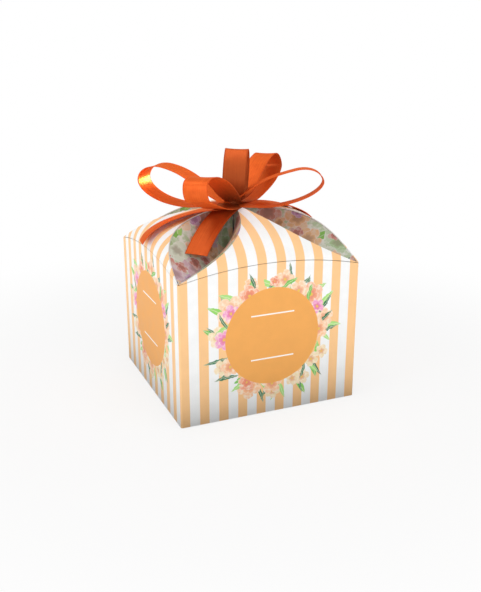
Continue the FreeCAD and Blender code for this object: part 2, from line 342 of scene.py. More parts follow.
class GroupTree(Graph):
    """A shader node group under construction."""

    KINDS = {"vector": "NodeSocketVector", "value": "NodeSocketFloat"}

    def __init__(self, name: str, inputs: dict[str, str]) -> None:
        """Makes the group and its inputs.

        Args:
            name: the group's name.
            inputs: the kind of each input, a vector or a value, by its name.
        """
        super().__init__(bpy.data.node_groups.new(name, "ShaderNodeTree"))
        for label, kind in inputs.items():
            self.tree.interface.new_socket(name=label, in_out="INPUT", socket_type=self.KINDS[kind])
        self.entry = self.tree.nodes.new("NodeGroupInput").outputs

    def close(self, outputs: dict[str, tuple[str, NodeSocket]]) -> NodeTree:
        """Makes the outputs and joins them.

        Args:
            outputs: for each name its kind and the socket that feeds it.

        Returns:
            The finished group.
        """
        for label, (kind, _) in outputs.items():
            self.tree.interface.new_socket(name=label, in_out="OUTPUT", socket_type=self.KINDS[kind])
        end = self.tree.nodes.new("NodeGroupOutput")
        for label, (_, socket) in outputs.items():
            self.tree.links.new(socket, end.inputs[label])
        return self.tree


def paper_grain_group() -> NodeTree:
    """Builds the fibres and soft mottling of carton board, from a place in metres.

    Returns:
        The group, which puts out a shade and the two noises.
    """
    g = GroupTree("paper_grain", {"Place": "vector"})
    fibres = g.noise(g.entry["Place"], FIBRE_SCALE, 4.0)
    mottle = g.noise(g.entry["Place"], MOTTLE_SCALE, 2.0)
    clouds = g.smooth(mottle, 0.3, 0.7, 0.965, 1.0)
    shade = g.math("ADD", clouds, g.smooth(fibres, 0.3, 0.7, -0.015, 0.015))
    return g.close({"Shade": ("value", shade), "Fibres": ("value", fibres), "Mottle": ("value", mottle)})


def rosette_group() -> NodeTree:
    """Builds a five-petalled blossom round the origin of a flat place, in millimetres.

    Returns:
        The group, which puts out the blossom's mask, the share of the way to its rim and its lobes.
    """
    g = GroupTree("rosette", {"Local": "vector", "Radius": "value", "Phase": "value"})
    x, y, _ = g.split(g.entry["Local"])
    reach = g.vector("LENGTH", g.entry["Local"])
    angle = g.math("ADD", g.math("MULTIPLY", g.math("ARCTAN2", y, x), 2.5), g.entry["Phase"])
    lobe = g.math("SQRT", g.math("ABSOLUTE", g.math("COSINE", angle)))
    swell = g.math("MULTIPLY_ADD", lobe, LOBE_DEPTH, 1 - LOBE_DEPTH)
    rim = g.math("MULTIPLY", g.entry["Radius"], swell)
    depth = g.math("DIVIDE", reach, rim)
    return g.close({
        "Mask": ("value", g.smooth(depth, 0.9, 1.0, 1.0, 0.0)),
        "Depth": ("value", depth),
        "Lobe": ("value", lobe),
    })


def leaf_group() -> NodeTree:
    """Builds a lens-shaped leaf that grows from the origin of a flat place, in millimetres.

    Returns:
        The group, which puts out the leaf's mask and a value that is 0 on its vein.
    """
    sizes = ("Length", "Width", "Tilt", "Bend")
    g = GroupTree("leaf", {"Local": "vector", **dict.fromkeys(sizes, "value")})
    turn = g.add("VectorRotate", rotation_type="Z_AXIS")
    g.plug(turn.inputs["Vector"], g.entry["Local"])
    g.plug(turn.inputs["Angle"], g.entry["Tilt"])
    x, y, _ = g.split(turn.outputs[0])
    along = g.math("DIVIDE", y, g.entry["Length"])
    inside = g.math("MULTIPLY", along, g.math("SUBTRACT", 1.0, along))
    bow = g.math("MULTIPLY", g.entry["Bend"], inside)
    side = g.math("ABSOLUTE", g.math("SUBTRACT", x, bow))
    half = g.math("MULTIPLY", g.entry["Width"], g.math("MULTIPLY", inside, 2.0))
    mask = g.smooth(g.math("SUBTRACT", half, side), 0.0, 0.12)
    return g.close({"Mask": ("value", mask), "Vein": ("value", g.smooth(side, 0.05, 0.3))})


def ring_fold_group() -> NodeTree:
    """Builds the fold of a ring of equal sectors on to one.

    Returns:
        The group, which puts out the place in a sector and two random numbers for it.
    """
    sizes = ("Count", "Phase", "Ring", "Stray")
    g = GroupTree("ring_fold", {"Place": "vector", **dict.fromkeys(sizes, "value")})
    x, y, _ = g.split(g.entry["Place"])
    turn = g.math("DIVIDE", g.math("ARCTAN2", y, x), 2 * math.pi)
    steps = g.math("MULTIPLY_ADD", turn, g.entry["Count"], g.entry["Phase"])
    cell = g.math("FLOORED_MODULO", g.math("FLOOR", steps), g.entry["Count"])
    offset = g.math("SUBTRACT", g.math("FRACT", steps), 0.5)
    angle = g.math("MULTIPLY", g.math("DIVIDE", offset, g.entry["Count"]), 2 * math.pi)
    reach = g.vector("LENGTH", g.entry["Place"])
    seed = g.math("ADD", cell, g.math("MULTIPLY", g.entry["Phase"], 37.0))
    first = g.chance(seed)
    second = g.chance(g.math("ADD", seed, 91.7))
    stray_x = g.math("MULTIPLY", g.math("SUBTRACT", first, 0.5), g.entry["Stray"])
    stray_y = g.math("MULTIPLY", g.math("SUBTRACT", second, 0.5), g.entry["Stray"])
    local_x = g.math("ADD", g.math("MULTIPLY", reach, g.math("SINE", angle)), stray_x)
    beyond = g.math("SUBTRACT", g.math("MULTIPLY", reach, g.math("COSINE", angle)), g.entry["Ring"])
    local_y = g.math("ADD", beyond, stray_y)
    return g.close({
        "Local": ("vector", g.combine(local_x, local_y)),
        "First": ("value", first),
        "Second": ("value", second),
    })


def scatter_fold_group() -> NodeTree:
    """Builds cells scattered over a flat place.

    Returns:
        The group, which puts out the place in a cell and two random numbers for it.
    """
    g = GroupTree("scatter_fold", {"Place": "vector", "Pitch": "value"})
    cells = g.add("TexVoronoi", voronoi_dimensions="2D")
    g.plug(cells.inputs["Vector"], g.entry["Place"])
    g.plug(cells.inputs["Scale"], g.math("DIVIDE", 1.0, g.entry["Pitch"]))
    g.plug(cells.inputs["Randomness"], 0.7)
    local = g.vector("SUBTRACT", g.entry["Place"], cells.outputs["Position"])
    first, second, _ = g.split(cells.outputs["Color"])
    return g.close({"Local": ("vector", local), "First": ("value", first), "Second": ("value", second)})


def facing_group() -> NodeTree:
    """Builds the mask that tells a panel's printed outer face from its bare inner face and cut edges.

    Returns:
        The group, which puts out the mask.
    """
    g = GroupTree("facing", {"Normal": "vector", "Outward": "vector"})
    slant = g.vector("DOT_PRODUCT", g.entry["Normal"], g.entry["Outward"])
    return g.close({"Mask": ("value", g.smooth(slant, 0.25, 0.35))})


class Groups:
    """The shader node groups that the finishes share, each built once."""

    def __init__(self) -> None:
        """Builds every group."""
        self.grain = paper_grain_group()
        self.rosette = rosette_group()
        self.leaf = leaf_group()
        self.ring_fold = ring_fold_group()
        self.scatter_fold = scatter_fold_group()
        self.facing = facing_group()


class Finish:
    """Base of the finishes: makes a material and its main shader."""

    PRINT_BUMP = (0.12, 0.00008)

    @staticmethod
    def start(name: str, **constants: Value) -> tuple[Material, Graph, Node]:
        """A new material with its Principled shader.

        Args:
            name: the material's name.
            constants: values for the shader's own sockets, with _ for a space.

        Returns:
            The material, its graph and the shader node.
        """
        material = bpy.data.materials.new(name)
        material.use_nodes = True
        graph = Graph(material.node_tree)
        shader = material.node_tree.nodes["Principled BSDF"]
        for label, value in constants.items():
            graph.plug(shader.inputs[label.replace("_", " ")], value)
        return material, graph, shader

    @staticmethod
    def bump(graph: Graph, shader: Node, height: NodeSocket, strength: float, distance: float) -> None:
        """Feeds the shader's normal from a height.

        Args:
            graph: the material's graph.
            shader: its main shader.
            height: the relief.
            strength, distance: how strong and how deep it is.
        """
        node = graph.add("Bump")
        graph.plug(node.inputs["Strength"], strength)
        graph.plug(node.inputs["Distance"], distance)
        graph.plug(node.inputs["Height"], height)
        graph.plug(shader.inputs["Normal"], node.outputs[0])

    @staticmethod
    def tint(graph: Graph, shader: Node, colour: Value, grain: Node) -> None:
        """Feeds the shader's base colour from a print and the paper grain over it."""
        shade = graph.grey(grain.outputs["Shade"])
        graph.plug(shader.inputs["Base Color"], graph.mix(1.0, colour, shade, "MULTIPLY"))


@dataclass(frozen=True)
class Garland(Finish):
    """Colours and sizes of the round print on a wall, in millimetres; the leaves' tilt is in radians."""

    centre: tuple[float, float] = (0.5, 42.8)
    disc_radius: float = 26.3
    rule_heights: tuple[float, float] = (12.2, -11.9)
    rule_half: float = 12.1
    rule_thickness: float = 0.75
    disc_edge: float = 0.1
    rule_edge: float = 0.08
    leaf_inset: float = 0.6
    leaf_stray: float = 3.0
    leaf_tilt: float = 1.2
    leaf_bend: float = 4.5
    flower_stray: float = 3.4
    inner_share: float = 0.6
    ripple: float = 0.8
    disc: Colour = linear(243, 172, 91)
    rule: Colour = linear(255, 248, 238)
    blossoms: tuple[Colour, ...] = (linear(252, 196, 150), linear(244, 160, 126), linear(250, 206, 166),
                                    linear(240, 150, 206), linear(247, 176, 142), linear(244, 222, 178))
    light_leaves: tuple[Colour, ...] = (linear(150, 214, 106), linear(172, 224, 132), linear(128, 198, 98))
    dark_leaves: tuple[Colour, ...] = (linear(42, 120, 86), linear(64, 132, 96))
    cream: Colour = linear(255, 238, 218)
    blush: Colour = linear(226, 122, 104)
    pollen: Colour = linear(240, 196, 96)

    def leaves(self, g: Graph, groups: Groups, ground: NodeSocket, place: NodeSocket, count: int,
               phase: float, length: float, width: float, colours: tuple[Colour, ...]) -> NodeSocket:
        """Lays one ring of leaves over a ground colour.

        Args:
            g: the material's graph.
            groups: the shared node groups.
            ground: colour under the leaves.
            place: place on the wall from the disc's middle, in millimetres.
            count: leaves in the ring.
            phase: turn of the ring, in sectors.
            length, width: size of a leaf, in millimetres.
            colours: the choice for the leaves.

        Returns:
            The painted colour.
        """
        fold = g.group(groups.ring_fold, Place=place, Count=float(count), Phase=phase,
                       Ring=self.disc_radius - self.leaf_inset, Stray=self.leaf_stray)
        tilt = g.math("MULTIPLY_ADD", fold.outputs["First"], 2 * self.leaf_tilt, -self.leaf_tilt)
        bend = g.math("MULTIPLY_ADD", fold.outputs["Second"], 2 * self.leaf_bend, -self.leaf_bend)
        leaf = g.group(groups.leaf, Local=fold.outputs["Local"], Length=length, Width=width, Tilt=tilt,
                       Bend=bend)
        tint = g.palette(fold.outputs["Second"], colours)
        colour = g.mix(leaf.outputs["Vein"], g.mix(0.5, tint, self.cream), tint)
        return g.mix(leaf.outputs["Mask"], ground, colour)

    def flowers(self, g: Graph, groups: Groups, ground: NodeSocket, place: NodeSocket, wash: NodeSocket,
                count: int, phase: float, ring: float, radius: float) -> NodeSocket:
        """Lays one ring of double blossoms over a ground colour.

        Args:
            g: the material's graph.
            groups: the shared node groups.
            ground: colour under the blossoms.
            place: place on the wall from the disc's middle, in millimetres.
            wash: noise that pales the petals.
            count: blossoms in the ring.
            phase: turn of the ring, in sectors.
            ring, radius: radius of the ring and, roughly, of a blossom, in millimetres.

        Returns:
            The painted colour.
        """
        fold = g.group(groups.ring_fold, Place=place, Count=float(count), Phase=phase, Ring=ring,
                       Stray=self.flower_stray)
        size = g.math("MULTIPLY", radius, g.math("MULTIPLY_ADD", fold.outputs["Second"], 0.65, 0.5))
        turn = g.math("MULTIPLY", fold.outputs["First"], 6.0)
        outer = g.group(groups.rosette, Local=fold.outputs["Local"], Radius=size, Phase=turn)
        inner = g.group(groups.rosette, Local=fold.outputs["Local"],
                        Radius=g.math("MULTIPLY", size, self.inner_share), Phase=g.math("ADD", turn, 1.3))
        petal = g.palette(fold.outputs["First"], self.blossoms)
        colour = g.mix(g.smooth(wash, 0.4, 0.66, 0.1, 0.8), petal, self.cream)
        notch = g.smooth(outer.outputs["Lobe"], 0.65, 0.2, 0.0, 0.6)
        colour = g.mix(notch, colour, g.mix(0.5, petal, self.blush))
        colour = g.mix(g.smooth(outer.outputs["Depth"], 0.86, 0.98, 0.0, 0.7), colour, self.cream)
        heart = g.mix(g.smooth(inner.outputs["Depth"], 0.3, 0.95), g.mix(0.55, petal, self.blush), petal)
        heart = g.mix(g.smooth(inner.outputs["Depth"], 0.8, 0.95, 0.0, 0.6), heart, self.cream)
        heart = g.mix(g.smooth(inner.outputs["Depth"], 0.3, 0.2), heart, self.pollen)
        colour = g.mix(inner.outputs["Mask"], colour, heart)
        return g.mix(outer.outputs["Mask"], ground, colour)

    def paint(self, g: Graph, groups: Groups, ground: NodeSocket, lateral: NodeSocket,
              height: NodeSocket) -> NodeSocket:
        """Lays the garland, the disc and its rules over the wall's stripes.

        Args:
            g: the material's graph.
            groups: the shared node groups.
            ground: colour of the wall.
            lateral, height: place on the wall, in millimetres.

        Returns:
            The painted colour.
        """
        x = g.math("SUBTRACT", lateral, self.centre[0])
        y = g.math("SUBTRACT", height, self.centre[1])
        flat = g.combine(x, y)
        wash = g.noise(flat, 0.55, 3.0)
        ripple = g.math("MULTIPLY_ADD", wash, 2 * self.ripple, -self.ripple)
        place = g.combine(g.math("ADD", x, ripple), g.math("SUBTRACT", y, ripple))
        colour = self.leaves(g, groups, ground, place, count=17, phase=0.3, length=14.5, width=3.4,
                             colours=self.light_leaves)
        colour = self.leaves(g, groups, colour, place, count=14, phase=0.8, length=14.5, width=1.9,
                             colours=self.dark_leaves)
        colour = self.flowers(g, groups, colour, place, wash, count=11, phase=0.15, ring=29.8, radius=8.0)
        colour = self.leaves(g, groups, colour, place, count=9, phase=0.55, length=11.5, width=2.4,
                             colours=self.light_leaves)
        colour = self.leaves(g, groups, colour, place, count=7, phase=0.35, length=11.5, width=1.7,
                             colours=self.dark_leaves)
        colour = self.flowers(g, groups, colour, place, wash, count=12, phase=0.6, ring=28.0, radius=5.8)
        within = g.below(g.vector("LENGTH", flat), self.disc_radius, self.disc_edge)
        colour = g.mix(within, colour, self.disc)
        inside = g.below(g.math("ABSOLUTE", x), self.rule_half, self.disc_edge)
        for rule_height in self.rule_heights:
            off = g.math("ABSOLUTE", g.math("SUBTRACT", y, rule_height))
            line = g.math("MULTIPLY", g.below(off, self.rule_thickness / 2, self.rule_edge), inside)
            colour = g.mix(line, colour, self.rule)
        return colour


@dataclass(frozen=True)
class StripedBoard(Finish):
    """Carton board printed with peach stripes outside and bare inside; sizes in millimetres."""

    period: float = 100 / 9.5
    first_band: float = 4.86
    side_period: float = 10.9
    side_first_band: float = -3.1
    band: float = 5.15
    soft_edge: float = 0.09
    white: Colour = (0.93, 0.93, 0.925)
    peach: Colour = linear(253, 203, 146)
    inside: Colour = (0.86, 0.85, 0.81)
    garland: Garland = Garland()

    def material(self, side: Side, groups: Groups) -> Material:
        """Makes the board of one side of the carton, wall and petal alike.

        Args:
            side: the side.
            groups: the shared node groups.

        Returns:
            The material.
        """
        material, g, shader = self.start("striped_board_" + side.label, Specular_IOR_Level=0.2)
        coordinates = g.add("TexCoord")
        place = coordinates.outputs["Object"]
        millimetres = g.vector("SCALE", place, 1 / MM)
        lateral = g.vector("DOT_PRODUCT", millimetres, side.across)
        height = g.split(millimetres)[2]
        period = self.period if side.is_main else self.side_period
        first = self.first_band if side.is_main else self.side_first_band
        share = g.math("FRACT", g.math("MULTIPLY_ADD", lateral, 1 / period, 0.5 - first / period))
        off = g.math("MULTIPLY", g.math("ABSOLUTE", g.math("SUBTRACT", share, 0.5)), period)
        stripes = g.below(off, self.band / 2, self.soft_edge)
        printed = self.garland.paint(g, groups, g.mix(stripes, self.white, self.peach), lateral, height)
        facing = g.group(groups.facing, Normal=coordinates.outputs["Normal"],
                         Outward=(side.outward + UP).normalized())
        grain = g.group(groups.grain, Place=place)
        self.tint(g, shader, g.mix(facing.outputs["Mask"], self.inside, printed), grain)
        varnish = g.smooth(grain.outputs["Mottle"], 0.3, 0.7, 0.44, 0.52)
        bare = g.math("SUBTRACT", 1.0, facing.outputs["Mask"])
        g.plug(shader.inputs["Roughness"], g.math("MULTIPLY_ADD", bare, 0.3, varnish))
        self.bump(g, shader, grain.outputs["Fibres"], *self.PRINT_BUMP)
        return material


@dataclass(frozen=True)
class BlossomBoard(Finish):
    """Board of the gussets, printed all over with loose blossoms; sizes in millimetres."""

    ground: Colour = linear(208, 210, 200)
    wash: Colour = linear(170, 186, 152)
    petals: tuple[Colour, ...] = (linear(158, 182, 138), linear(212, 170, 128), linear(190, 132, 118),
                                  linear(196, 204, 184), linear(194, 162, 172), linear(216, 180, 140))
    buds: tuple[Colour, ...] = (linear(184, 116, 106), linear(170, 128, 168), linear(212, 162, 114))
    leaves: tuple[Colour, ...] = (linear(120, 170, 80), linear(58, 112, 82), linear(146, 188, 104))
    outline: Colour = linear(218, 214, 212)
    heart: Colour = (0.2, 0.13, 0.1)
    inner_share: float = 0.6
    ripple: float = 1.5
    inside: Colour = (0.86, 0.85, 0.81)

    @staticmethod
    def axes(node: Object) -> tuple[Vector, Vector]:
        """Two unit vectors that span the printed face of a gusset.

        Args:
            node: the gusset's CAD node.

        Returns:
            A level vector along the face and one down its slope.
        """
        normal = Vector()
        for polygon in node.data.polygons:
            if polygon.normal.z > 0:
                normal += polygon.normal * polygon.area
        normal.normalize()
        level = UP.cross(normal).normalized()
        return level, normal.cross(level)

    def material(self, node: Object, groups: Groups) -> Material:
        """Makes the board of one gusset half.

        Args:
            node: the gusset's CAD node.
            groups: the shared node groups.

        Returns:
            The material.
        """
        material, g, shader = self.start("blossom_board_" + node.name, Specular_IOR_Level=0.2)
        coordinates = g.add("TexCoord")
        place = coordinates.outputs["Object"]
        millimetres = g.vector("SCALE", place, 1 / MM)
        level, slope = self.axes(node)
        flat = g.combine(*(g.vector("DOT_PRODUCT", millimetres, axis) for axis in (level, slope)))
        wash = g.noise(flat, 0.28, 3.0)
        ripple = g.math("MULTIPLY_ADD", wash, 2 * self.ripple, -self.ripple)
        wavy = g.vector("ADD", flat, g.combine(ripple, ripple))
        colour = g.mix(g.smooth(wash, 0.4, 0.6), self.ground, self.wash)

        fold = g.group(groups.scatter_fold, Place=wavy, Pitch=13.0)
        angle = g.math("MULTIPLY", fold.outputs["First"], 2 * math.pi)
        leaf = g.group(groups.leaf, Local=fold.outputs["Local"], Length=15.0, Width=5.0, Tilt=angle,
                       Bend=5.0)
        tint = g.palette(fold.outputs["Second"], self.leaves)
        green = g.mix(leaf.outputs["Vein"], g.mix(0.5, tint, self.ground), tint)
        colour = g.mix(leaf.outputs["Mask"], colour, green)

        layers = ((13.0, 0.0, 8.2, self.petals, 0.0), (10.0, 40.0, 4.2, self.buds, 0.5))
        for pitch, shift, radius, colours, bare_share in layers:
            spot = g.vector("ADD", wavy, (shift, shift, 0.0))
            fold = g.group(groups.scatter_fold, Place=spot, Pitch=pitch)
            turn = g.math("MULTIPLY", fold.outputs["First"], 6.0)
            flower = g.group(groups.rosette, Local=fold.outputs["Local"], Radius=radius, Phase=turn)
            heart = g.group(groups.rosette, Local=fold.outputs["Local"], Radius=self.inner_share * radius,
                            Phase=g.math("ADD", turn, 1.3))
            tint = g.palette(fold.outputs["Second"], colours)
            petal = g.mix(g.smooth(wash, 0.36, 0.64, 0.0, 0.4), tint, self.ground)
            petal = g.mix(g.smooth(flower.outputs["Lobe"], 0.6, 0.2, 0.0, 0.5), petal, self.outline)
            petal = g.mix(g.smooth(flower.outputs["Depth"], 0.86, 0.95, 0.0, 0.7), petal, self.outline)
            core = g.mix(g.smooth(heart.outputs["Depth"], 0.3, 0.9), g.mix(0.5, tint, self.heart), tint)
            core = g.mix(g.smooth(heart.outputs["Depth"], 0.84, 0.95, 0.0, 0.6), core, self.outline)
            petal = g.mix(heart.outputs["Mask"], petal, core)
            grown = g.smooth(fold.outputs["First"], bare_share, bare_share + 0.01)
            colour = g.mix(g.math("MULTIPLY", flower.outputs["Mask"], grown), colour, petal)

        facing = g.group(groups.facing, Normal=coordinates.outputs["Normal"], Outward=level.cross(slope))
        grain = g.group(groups.grain, Place=place)
        self.tint(g, shader, g.mix(facing.outputs["Mask"], self.inside, colour), grain)
        g.plug(shader.inputs["Roughness"], g.smooth(grain.outputs["Mottle"], 0.3, 0.7, 0.46, 0.56))
        self.bump(g, shader, grain.outputs["Fibres"], *self.PRINT_BUMP)
        return material


@dataclass(frozen=True)
class PlainBoard(Finish):
    """Bare white board of the base and the glue flap."""

    white: Colour = (0.86, 0.85, 0.81)
    fibre_bump: tuple[float, float] = (0.3, 0.0001)

    def material(self, groups: Groups) -> Material:
        """Makes the bare board.

        Args:
            groups: the shared node groups.

        Returns:
            The material.
        """
        material, g, shader = self.start("plain_board_fibres", Specular_IOR_Level=0.25)
        grain = g.group(groups.grain, Place=g.add("TexCoord").outputs["Object"])
        self.tint(g, shader, self.white, grain)
        g.plug(shader.inputs["Roughness"], g.smooth(grain.outputs["Fibres"], 0.3, 0.7, 0.72, 0.86))
        self.bump(g, shader, grain.outputs["Fibres"], *self.fibre_bump)
        return material


@dataclass(frozen=True)
class Satin(Finish):
    """Satin weave of the ribbon, laid out along its length.

    The thread is in metres, scales are per metre, and the selvedge is a share of the ribbon's width.
    """

    bright: Colour = linear(232, 104, 42)
    deep: Colour = linear(214, 88, 34)
    # Colour of the painted shade that the tone map blends in near the knot and in the loops' hollows.
    gathers: Colour = linear(96, 54, 32)
    thread: float = 0.00022
    selvedge: float = 0.44
    selvedge_edge: float = 0.015
    streaks_across: float = 2400.0
    streaks_along: float = 45.0
    mottle_scale: float = 260.0
    weave_bump: tuple[float, float] = (0.12, 0.00006)

    def material(self) -> Material:
        """Makes the ribbon's satin: warp threads, streaks along them and a tighter edge.

        Returns:
            The material.
        """
        material, g, shader = self.start("satin_weave", Metallic=0.35, Specular_IOR_Level=0.0,
                                         Specular_Tint=(1.0, 0.55, 0.2), Coat_Weight=0.09,
                                         Coat_Roughness=0.36)
        across, along, _ = g.split(g.add("UVMap", uv_map="ribbon").outputs[0])
        fibres = g.combine(g.math("MULTIPLY", across, self.streaks_across),
                           g.math("MULTIPLY", along, self.streaks_along))
        streaks = g.noise(fibres, 1.0, 3.0)
        mottle = g.noise(g.combine(across, along), self.mottle_scale, 2.0)
        tone = g.math("ADD", g.math("MULTIPLY", streaks, 0.7), g.math("MULTIPLY", mottle, 0.3))
        colour = g.mix(g.smooth(tone, 0.32, 0.68), self.deep, self.bright)
        aside = g.math("ABSOLUTE", g.math("DIVIDE", across, RIBBON_WIDTH))
        edge = g.smooth(aside, self.selvedge, self.selvedge + self.selvedge_edge)
        colour = g.mix(edge, colour, g.mix(0.3, self.deep, self.bright))
        # Painted shade: the tone map darkens the ribbon where the bow shades it, near the knot and inside
        # the loops.
        painted_shade = g.split(g.add("UVMap", uv_map="tone").outputs[0])[0]
        g.plug(shader.inputs["Base Color"], g.mix(painted_shade, colour, self.gathers))
        rough = g.smooth(streaks, 0.3, 0.7, 0.34, 0.44)
        g.plug(shader.inputs["Roughness"], g.math("MULTIPLY_ADD", edge, 0.4, rough))
        warp = g.math("SINE", g.math("MULTIPLY", across, 2 * math.pi / self.thread))
        weft = g.math("SINE", g.math("MULTIPLY", along, 2 * math.pi / (self.thread * 2)))
        weave = g.math("MULTIPLY_ADD", g.math("MULTIPLY", weft, edge), 0.6, warp)
        self.bump(g, shader, g.math("MULTIPLY_ADD", streaks, 1.5, weave), *self.weave_bump)
        return material


@dataclass(frozen=True)
class ChocolateCoat(Finish):
    """Smooth milk chocolate with a soft sheen and a trace of bloom."""

    dark: Colour = linear(66, 34, 20)
    light: Colour = linear(92, 52, 32)
    bloom: Colour = linear(140, 104, 80)
    cloud_scale: float = 90.0
    fine_scale: float = 900.0
    coat_bump: tuple[float, float] = (0.15, 0.0002)

    def material(self) -> Material:
        """Makes the chocolate of every piece.

        Returns:
            The material.
        """
        material, g, shader = self.start("chocolate_coat", Specular_IOR_Level=0.45, Coat_Roughness=0.3)
        place = g.add("TexCoord").outputs["Object"]
        cloud = g.noise(place, self.cloud_scale, 3.0)
        fine = g.noise(place, self.fine_scale, 3.0)
        colour = g.mix(g.smooth(cloud, 0.35, 0.65), self.dark, self.light)
        colour = g.mix(g.smooth(fine, 0.62, 0.82, 0.0, 0.35), colour, self.bloom)
        g.plug(shader.inputs["Base Color"], colour)
        g.plug(shader.inputs["Roughness"], g.smooth(cloud, 0.3, 0.7, 0.32, 0.46))
        g.plug(shader.inputs["Coat Weight"], g.smooth(cloud, 0.4, 0.7, 0.1, 0.3))
        self.bump(g, shader, g.math("MULTIPLY_ADD", cloud, 2.0, fine), *self.coat_bump)
        return material


def dress(node: Object, material: Material) -> None:
    """Puts one material on a CAD node.

    Args:
        node: the node.
        material: its finish.
    """
    node.data.materials.clear()
    node.data.materials.append(material)
    LOG.info("%s: dressed in %s", node.name, material.name)


@dataclass
class Carton:
    """Walls, petals, gussets and base of the carton, which keep their CAD shapes; folds in millimetres."""

    nodes: dict[str, Object]
    groups: Groups
    striped: StripedBoard = StripedBoard()
    blossom: BlossomBoard = BlossomBoard()
    plain: PlainBoard = PlainBoard()
    fold_reach: tuple[float, float] = (3.0, 49.1)
    fold_half_width: float = 0.45
    fold_levels: tuple[float, float] = (76.66, 76.86)

    def build(self) -> None:
        """Dresses every board piece and closes the valley folds of the gussets."""
        for side in Side:
            board = self.striped.material(side, self.groups)
            for name in (side.label + "_wall", side.label + "_petal"):
                dress(self.nodes[name], board)
            for hand in ("left", "right"):
                gusset = self.nodes[f"{side.label}_petal_{hand}_gusset"]
                dress(gusset, self.blossom.material(gusset, self.groups))
            self.valley_fold(side)
        bare = self.plain.material(self.groups)
        for name, node in self.nodes.items():
            if name.startswith("base_") or name == "glue_seam_flap":
                dress(node, bare)
        LOG.info("carton dressed")

    def valley_fold(self, side: Side) -> None:
        """Strip of board along the valley where two gusset halves meet.

        Args:
            side: the petal that has the valley at its right-hand corner.
        """
        low, high = self.fold_levels
        half = self.fold_half_width
        points = []
        for reach in self.fold_reach:
            for shift, level in ((-half, low), (half, low), (half, high), (-half, high)):
                points.append(side.turned(Vector((reach + shift, shift - reach, level)) * MM))
        faces = [(0, 1, 2, 3), (7, 6, 5, 4), (0, 4, 5, 1), (1, 5, 6, 2), (2, 6, 7, 3), (3, 7, 4, 0)]
        mesh = bpy.data.meshes.new(side.label + "_right_gusset_fold")
        mesh.from_pydata(points, [], faces)
        mesh.materials.append(self.nodes[side.label + "_petal_right_gusset"].data.materials[0])
        fold = put(mesh.name, mesh)
        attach(fold, side.label + "_petal")
        LOG.info("%s: folded", fold.name)


@dataclass
class Chocolates:
    """The layers of chocolates inside the carton."""

    nodes: dict[str, Object]
    coat: ChocolateCoat = ChocolateCoat()

    def build(self) -> None:
        """Dresses both layers."""
        material = self.coat.material()
        for name, node in self.nodes.items():
            if name.startswith("chocolates_"):
                dress(node, material)
        LOG.info("chocolates dressed")


# The ribbon's sizes are in metres, the height of the petals' tips in millimetres.
RIBBON_WIDTH = 12.7 * MM
RIBBON_THICKNESS = 0.34 * MM
PETAL_TOP = 101.5


@dataclass(frozen=True)
class Station:
    """One place along a ribbon: its middle, unit vectors across and out of its face, and its form there."""

    middle: Vector
    across: Vector
    out: Vector
    half: float
    cup: float = 0.0
    pleat: float = 0.0
    # Painted shade of the outer face and of the inner face, from 0 to 1.
    shade: float = 0.0
    inner_shade: float = 0.0


@dataclass
class RibbonMesh:
    """Points, faces and weave coordinates of a piece of ribbon, in metres, with its painted shade; a tone
    of 1 is full painted shade.
    """

    points: list[Vector] = field(default_factory=list)
    places: list[tuple[float, float]] = field(default_factory=list)
    tones: list[float] = field(default_factory=list)
    faces: list[tuple[int, ...]] = field(default_factory=list)

    def build(self, name: str, sharp: float, material: Material) -> Object:
        """Makes the object.

        Args:
            name: the piece's name.
            sharp: angle in degrees from which an edge stays sharp.
            material: the ribbon's finish.

        Returns:
            The object, in place.
        """
        mesh = bpy.data.meshes.new(name)
        mesh.from_pydata(self.points, [], self.faces)
        layer = mesh.uv_layers.new(name="ribbon")
        # The tone map holds the painted shade of each point, read by the satin.
        tone = mesh.uv_layers.new(name="tone")
        for loop in mesh.loops:
            layer.data[loop.index].uv = self.places[loop.vertex_index]
            tone.data[loop.index].uv = (self.tones[loop.vertex_index], 0.0)
        mesh.shade_smooth()
        mesh.set_sharp_from_angle(angle=math.radians(sharp))
        mesh.materials.append(material)
        return put(name, mesh)


